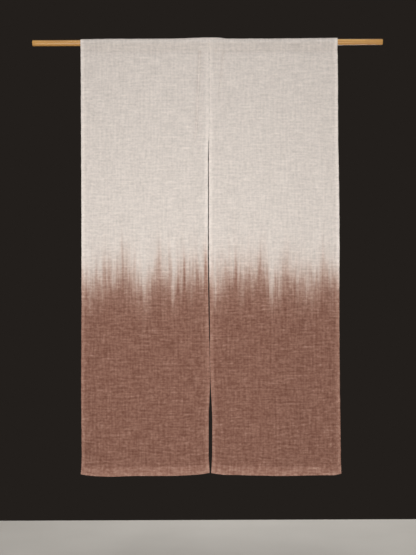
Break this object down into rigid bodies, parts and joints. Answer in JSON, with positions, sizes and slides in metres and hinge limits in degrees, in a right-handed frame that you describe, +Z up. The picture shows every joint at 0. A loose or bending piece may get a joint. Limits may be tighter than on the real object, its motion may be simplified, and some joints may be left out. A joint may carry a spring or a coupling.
{
  "type": "noren curtain and rod",
  "caption": "Split noren doorway curtain of dip-dyed linen, sewn together at the top and open below, hanging by its rod pocket on a round wooden rod.",
  "frame": {"origin": "centre of the rod's left end face, seen from the front", "axes": "+X along the rod from its left end to its right end, the curtain's front faces -Y, +Z up"},
  "size_m": [1.2, 0.0248, 1.5039],
  "materials": {
    "linen": "slubby plain-weave linen, undyed above and dip-dyed brown below",
    "rod_wood": "round dowel, clear satin varnish"
  },
  "bodies": {
    "root": {"rod": "rod_wood", "panel_left": "linen", "panel_right": "linen"}
  },
  "joints": []
}
